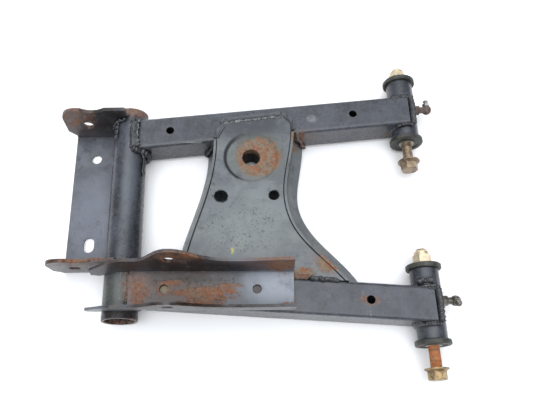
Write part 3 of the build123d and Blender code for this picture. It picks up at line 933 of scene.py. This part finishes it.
# ------------------------------------------------------------------ dressing the CAD pieces
@dataclass
class PaintedFrame:
    """Tubes, plate, brackets and sleeves in worn black paint."""

    layout: Layout = LAYOUT

    def dress(self) -> None:
        """Assign each painted part the paint with its own rust and wear."""
        lay = self.layout
        # satin black steel tube: a soft sheen on top, partly a painted highlight, pits, rust where ends
        # and welds hold water, and painted shade in its holes
        tubes = WornPaint(
            "satin_paint_on_tube", "#303339", "#42454d", "#46484a", seed=1.0, gloss=0.26,
            rust=(
                Spot((-332, 122, 8), (26, 9, 24), 1.0),
                Spot((-332, -124, -4), (26, 10, 24), 0.5),
                Spot((-127, 84, 6), (8, 9, 22), 0.8),
                Spot((-320, -94, 17), (9, 26, 8), 0.7),
                Spot((-66, -113, 19), (17, 8, 3), 0.42),
                Spot((-18, 100, -6), (22, 3, 12), 0.4),
            ),
            pits=(
                Spot((-322, 40, 10), (14, 60, 20), 0.8),
                Spot((-326, -45, 12), (16, 50, 22), 0.8)),
            stains_and_light=(
                StainOrLight((-116, 107, 19), (9, 7, 3), "#85878a", 0.6),
                StainOrLight((-332, 122, 6), (30, 16, 30), "#5e443b", 0.8),
                StainOrLight((-332, -122, 0), (36, 24, 36), "#241813", 1.0, 0.3),
                # painted highlight along the top of the cross tube
                StainOrLight((-326, 30, 20), (13, 90, 16), "#565b62", 0.8),
                StainOrLight((-283, -96.6, 19), (9, 9, 6), "#7a6433", 1.0),
                StainOrLight((-186, -99, 19), (9, 9, 6), "#33241a", 1.0),
                StainOrLight((-332, -96, 12), (30, 34, 20), "#54594f", 0.6),
                StainOrLight((-124, 88, 2), (30, 14, 26), "#4d3c33", 0.6),
                StainOrLight((0, 100, -8), (60, 30, 16), "#43332e", 0.5)),
            # painted shade inside the drilled holes in the arms' tops
            painted_shade=tuple(hole_shade((x, lay.arm_y(side, x), 16.4), 7.0)
                       for side, x in (("upper", -283.1), ("upper", -65.8), ("lower", -65.8))),
        )
        # a rain-greyed, greenish pressing with a rusty disc worn round the hub hole, and painted shade
        # in its holes, in two hollows of its right wall and round the hub
        plate = WornPaint(
            "satin_paint_on_plate", "#4d5257", "#63686b", "#6b706c", seed=2.0,
            rust=(
                Spot((lay.hub_x + 8.0, lay.hub_y, 20), (29, 28, 14), 1.7),
                Spot((-134, 78, 12), (13, 15, 24), 0.85),
                Spot((-103, -72, 16), (27, 15, 26), 0.8),
                Spot((-136, -81, 20), (17, 7, 5), 0.8),
            ),
            pits=(
                Spot((-202, -28, 20), (46, 36, 12), 1.5),
                Spot((-205, 78, 20), (26, 16, 10), 0.8),
                Spot((-236, 50, 10), (8, 70, 30), 0.8)),
            dabs=(Spot((-211.6, -55.8, 20), (3.0, 6.2, 6), 0.62),),
            tones=RustTones("#83593f", "#7a6a58", "#3c2c22"),
            # painted shade on the left wall of the raised ring round the hub hole
            shaded_crescent=(lay.hub_x, lay.hub_y, 20),
            stains_and_light=(
                StainOrLight((-196, -34, 20), (78, 80, 30), "#7d8382", 0.40),
                StainOrLight((-187, 104, 20), (84, 44, 20), "#30343a", 1.0),
                StainOrLight((lay.hub_x + 8, lay.hub_y, 20), (40, 38, 14), "#5c5a4a", 1.0),
                StainOrLight((-100, -66, 20), (46, 24, 30), "#5a463b", 0.45)),
            # painted shade in two drilled holes, deep in the hub hole and in two hollows of the
            # pressing's right wall
            painted_shade=(
                hole_shade((-164.5, 8.2, 19.4), 9.0), hole_shade((-223.7, 8.2, 19.4), 11.0),
                Spot((lay.hub_x, lay.hub_y, 0), (14.5, 14.5, 28), 4.0),
                Spot((-137, 53, 10), (7, 14, 12), 0.75), Spot((-141, 2, 10), (7, 14, 12), 0.75)),
        )
        # cooler, thinner paint on bent sheet, its cut edges and corners rusting brown; painted shade on
        # the channel's far wall and a painted sky reflection on its web
        bracket = WornPaint(
            "satin_paint_on_bracket", "#464951", "#5a5d65", "#585957", seed=3.0, rusty_edges=1.0,
            tones=RustTones("#86573c", "#7e6452", "#2c1f18"),
            rust=(
                Spot((-392, 113, 22), (30, 9, 34), 0.42),
                Spot((-370, -64, 30), (52, 8, 22), 0.5),
                Spot((-240, -101, 20), (44, 8, 6), 1.1),
                Spot((-234, -108, 20), (34, 5, 6), 0.8),
                Spot((-215, -95, 20), (26, 4, 6), 0.7),
                Spot((-152, -117, 21), (24, 5, 6), 0.7),
                Spot((-276, -90, 20), (22, 5, 6), 0.7),
                Spot((-262, -114, 20), (60, 5, 6), 1.0),
                Spot((-309, -102, 20), (5, 26, 6), 1.3),
                Spot((-283, -97, 20), (11, 11, 6), 0.8),
                Spot((-308, -98, 20), (14, 24, 8), 0.45),
                Spot((-268, -80, 62), (40, 16, 22), 0.62),
                Spot((-160, -80, 40), (26, 30, 22), 0.6),
            ),
            stains_and_light=(
                # painted shade on the inner face of the channel's far wall
                StainOrLight((-240, -77, 32), (116, 9, 20), "#171413", 0.9, 0.6),
                StainOrLight((-396, 112, 14), (46, 16, 54), "#3b2e29", 1.0),
                StainOrLight((-250, -125, 58), (140, 15, 62), "#2a1e18", 1.0, 0.8),
                StainOrLight((-354, 111, 14), (40, 20, 52), "#221d1b", 1.0, 0.4),
                StainOrLight((-386, -66, 20), (70, 18, 52), "#33251d", 1.0, 0.4),
                StainOrLight((-268, -98, 20), (86, 36, 14), "#4a3a31", 1.0),
                StainOrLight((-262, -88, 20), (70, 7, 10), "#211b18", 0.7),
                StainOrLight((-312, -96, 18), (22, 30, 14), "#6b4a3a", 0.8),
                StainOrLight((-270, -76, 50), (80, 18, 40), "#2b211d", 0.9, 0.4),
                StainOrLight((-330, -70, 36), (40, 16, 26), "#3a2c25", 0.9),
                StainOrLight((-170, -78, 44), (44, 16, 24), "#5a382c", 0.8),
                # lighter bluish patch on the channel web's right part: partly cleaner paint, partly a
                # painted reflection of the sky
                StainOrLight((-164, -96, 20), (56, 36, 8), "#8b919b", 1.0),
                StainOrLight((-374, -10, -19), (40, 90, 8), "#6a6f7c", 0.6)),
            pits=(
                Spot((-268, -95, 20), (84, 28, 10), 1.2),
                Spot((-378, -20, -19), (30, 50, 8), 0.5)),
        )
        finishes = {"tube_steel": tubes.build(), "plate_steel": plate.build(),
                    "bracket_steel": bracket.build()}
        for part in frame["record"]["subparts"]:
            if part["material_slot"] in finishes:
                paint(part["node"], finishes[part["material_slot"]])


def hole_shade(middle: Point, reach: float) -> Spot:
    """Painted shade on the wall of a drilled hole, kept below the face it opens on."""
    return Spot(middle, (reach, reach, 2.4), 1.6)


def paint(node: str, material: bpy.types.Material) -> None:
    """Give one CAD node its material and report it."""
    mesh = frame["nodes"][node].data
    if mesh.materials:
        for index in range(len(mesh.materials)):
            mesh.materials[index] = material
    else:
        mesh.materials.append(material)
    log.info("%s: %s", node, material.name)


@dataclass
class HingeHardware:
    """Bushes, spacers, bolts, nuts and grease fittings of both barrels."""

    def dress(self) -> None:
        """Assign plated, rusted and moulded finishes to the small parts."""
        # a dull black-green ring with a greasy film, softer than the painted steel beside it
        bush = MouldedPlastic("moulded_polyurethane").build()
        # a thin bright edge of turned steel just showing inside the bush
        spacer = PlatedSteel(
            "turned_steel_tube", "#a39d94", "#6c675f", rust_cover=0.1, rough=0.3, seed=1.0).build()
        # pale straw-coloured zinc, the cleanest metal on the part
        bright = PlatedSteel(
            "yellow_zinc_nut", "#d9c7a8", "#b5a488", rust_cover=0.02, metallic=0.55, rough=0.34,
            seed=2.0).build()
        # tan zinc gone dull on the upper bolt; orange rust down the shank of the lower one
        bolts = {
            "upper": PlatedSteel(
                "weathered_zinc_bolt", "#a08c74", "#5f5144", rust_cover=0.35, metallic=0.6,
                seed=3.0, band=1.75),
            "lower": PlatedSteel(
                "rusted_zinc_bolt", "#a58d66", "#54452f", rust_cover=0.3, metallic=0.6,
                rust=RustTones("#b0693a", "#a8734c", "#5f3d28"),
                spots=(Spot((0, -172, 0), (16, 20, 16), 1.8),), seed=4.0, band=1.75),
        }
        # small dark forgings: the upper one red-brown with rust, the lower one oily grey
        fittings = {
            "upper": PlatedSteel(
                "rusted_grease_fitting", "#6f625c", "#4c3d38", rust_cover=0.85, metallic=0.5,
                rust=RustTones("#59403a", "#6b5c57", "#2a2220"), seed=5.0),
            "lower": PlatedSteel(
                "dark_grease_fitting", "#6f6a62", "#3b3833", rust_cover=0.12, seed=6.0),
        }
        # worn nickel that glints at the very end of each fitting
        tips = {
            "upper": PlatedSteel(
                "worn_nickel_nipple", "#a9aaa8", "#6a6660", rust_cover=0.2, rough=0.3, seed=7.0),
            "lower": PlatedSteel(
                "dark_nickel_nipple", "#8f8b84", "#47443f", rust_cover=0.1, rough=0.28, seed=8.0),
        }
        # a mirror-bright point in the nipple's mouth
        ball = PlatedSteel(
            "hard_steel_ball", "#cfd0d0", "#a8a8a8", rust_cover=0.0, metallic=0.95, rough=0.15,
            seed=9.0).build()
        for side in SIDES:
            for end in ("near", "far"):
                paint(f"{side}_{end}_bush", bush)
            paint(f"{side}_spacer", spacer)
            paint(f"{side}_nut", bright)
            paint(f"{side}_pivot_bolt", bolts[side].build())
            paint(f"{side}_grease_elbow", fittings[side].build())
            paint(f"{side}_grease_nipple", tips[side].build())
            paint(f"{side}_check_ball", ball)


# ------------------------------------------------------------------ studio
@dataclass
class Studio:
    """White floor, soft light from above and behind, and the camera."""

    lens_mm: float = 37.65
    camera_mm: Point = (-193.16, -244.07, 614.69)
    turn_deg: Point = (-7.046, 22.017, 5.383)
    dark_below: float = 0.60
    bright_above: float = 0.98
    wall_glow: float = 0.42
    ceiling_glow: float = 3.5
    ceiling_lean_deg: float = -8.0
    dim_from: float = 0.2
    dim_to: float = 0.9
    right_dim: float = 0.45
    seen_glow: float = 1.1
    panel_watts: float = 12.0
    panel_size: float = 1.6
    panel_mm: Point = (-450.0, 1900.0, 950.0)
    panel_aim_mm: Point = (-180.0, 0.0, 0.0)
    floor_size: float = 6.0
    floor_white: float = 0.93
    floor_glow: float = 0.07

    def build(self) -> None:
        """Make the floor, the lights and the camera."""
        self.floor()
        self.lights()
        self.camera()

    def floor(self) -> None:
        """Lay a large plain sheet just under the lowest part."""
        sheet = bmesh.new()
        drop = Matrix.Translation((0, 0, CAD_BOX[0][2] - 0.2 * MM))
        bmesh.ops.create_grid(sheet, x_segments=1, y_segments=1, size=self.floor_size, matrix=drop)
        mesh = bpy.data.meshes.new("floor")
        sheet.to_mesh(mesh)
        sheet.free()
        floor = bpy.data.objects.new("floor", mesh)
        bpy.context.scene.collection.objects.link(floor)
        # matt white paper that fades into the background and takes a faint shadow
        material, _, shader = new_material("white_floor")
        shader.inputs["Base Color"].default_value = (*[self.floor_white] * 3, 1)
        shader.inputs["Emission Color"].default_value = (1, 1, 1, 1)
        shader.inputs["Emission Strength"].default_value = self.floor_glow
        shader.inputs["Roughness"].default_value = 0.9
        mesh.materials.append(material)

    def lights(self) -> None:
        """White surroundings, brightest overhead, and one large soft panel."""
        world = bpy.data.worlds.new("studio")
        bpy.context.scene.world = world
        world.use_nodes = True
        tree = world.node_tree
        way = add(tree, "ShaderNodeTexCoord").outputs["Generated"]
        leaned = add(tree, "ShaderNodeVectorRotate", {
            "Vector": way, "Angle": math.radians(self.ceiling_lean_deg)}, rotation_type="X_AXIS")
        height = add(tree, "ShaderNodeSeparateXYZ", {0: leaned.outputs[0]}).outputs["Z"]
        glow = add(tree, "ShaderNodeMapRange", {
            "Value": height, "From Min": self.dark_below, "From Max": self.bright_above,
            "To Min": self.wall_glow, "To Max": self.ceiling_glow,
        }, interpolation_type="SMOOTHSTEP").outputs[0]
        across = add(tree, "ShaderNodeSeparateXYZ", {0: way}).outputs["X"]
        shade = add(tree, "ShaderNodeMapRange", {
            "Value": across, "From Min": self.dim_from, "From Max": self.dim_to,
            "To Min": 1.0, "To Max": self.right_dim})
        glow = add(tree, "ShaderNodeMath", {0: glow, 1: shade.outputs[0]}, operation="MULTIPLY")
        sky = tree.nodes["Background"]
        sky.inputs["Color"].default_value = (0.93, 0.96, 1.0, 1)
        seen = add(tree, "ShaderNodeLightPath").outputs["Is Camera Ray"]
        strength = add(tree, "ShaderNodeMix", {
            0: seen, 2: glow.outputs[0], 3: self.seen_glow}, data_type="FLOAT")
        tree.links.new(strength.outputs[0], sky.inputs["Strength"])
        lamp = bpy.data.lights.new("panel_behind", "AREA")
        lamp.energy, lamp.size = self.panel_watts, self.panel_size
        panel = bpy.data.objects.new("panel_behind", lamp)
        at = Vector(self.panel_mm) * MM
        aim = (Vector(self.panel_aim_mm) * MM - at).to_track_quat("-Z", "Y")
        panel.matrix_world = Matrix.Translation(at) @ aim.to_matrix().to_4x4()
        bpy.context.scene.collection.objects.link(panel)
        bpy.context.scene.view_settings.view_transform = "Standard"

    def camera(self) -> None:
        """Place the camera above and in front, looking down on the carrier."""
        lens = bpy.data.cameras.new("camera")
        lens.lens, lens.sensor_width = self.lens_mm, 36.0
        lens.clip_start = 0.01
        camera = bpy.data.objects.new("camera", lens)
        pan, tilt, roll = (math.radians(a) for a in self.turn_deg)
        turn = Matrix.Rotation(pan, 4, "Z") @ Matrix.Rotation(tilt, 4, "X")
        turn = turn @ Matrix.Rotation(roll, 4, "Z")
        camera.matrix_world = Matrix.Translation([v * MM for v in self.camera_mm]) @ turn
        bpy.context.scene.collection.objects.link(camera)
        bpy.context.scene.camera = camera


def main() -> None:
    """Dress the frame, lay the welds and set the studio."""
    PaintedFrame().dress()
    HingeHardware().dress()
    FrameWelds().build()
    Studio().build()


if __name__ == "__main__":
    main()
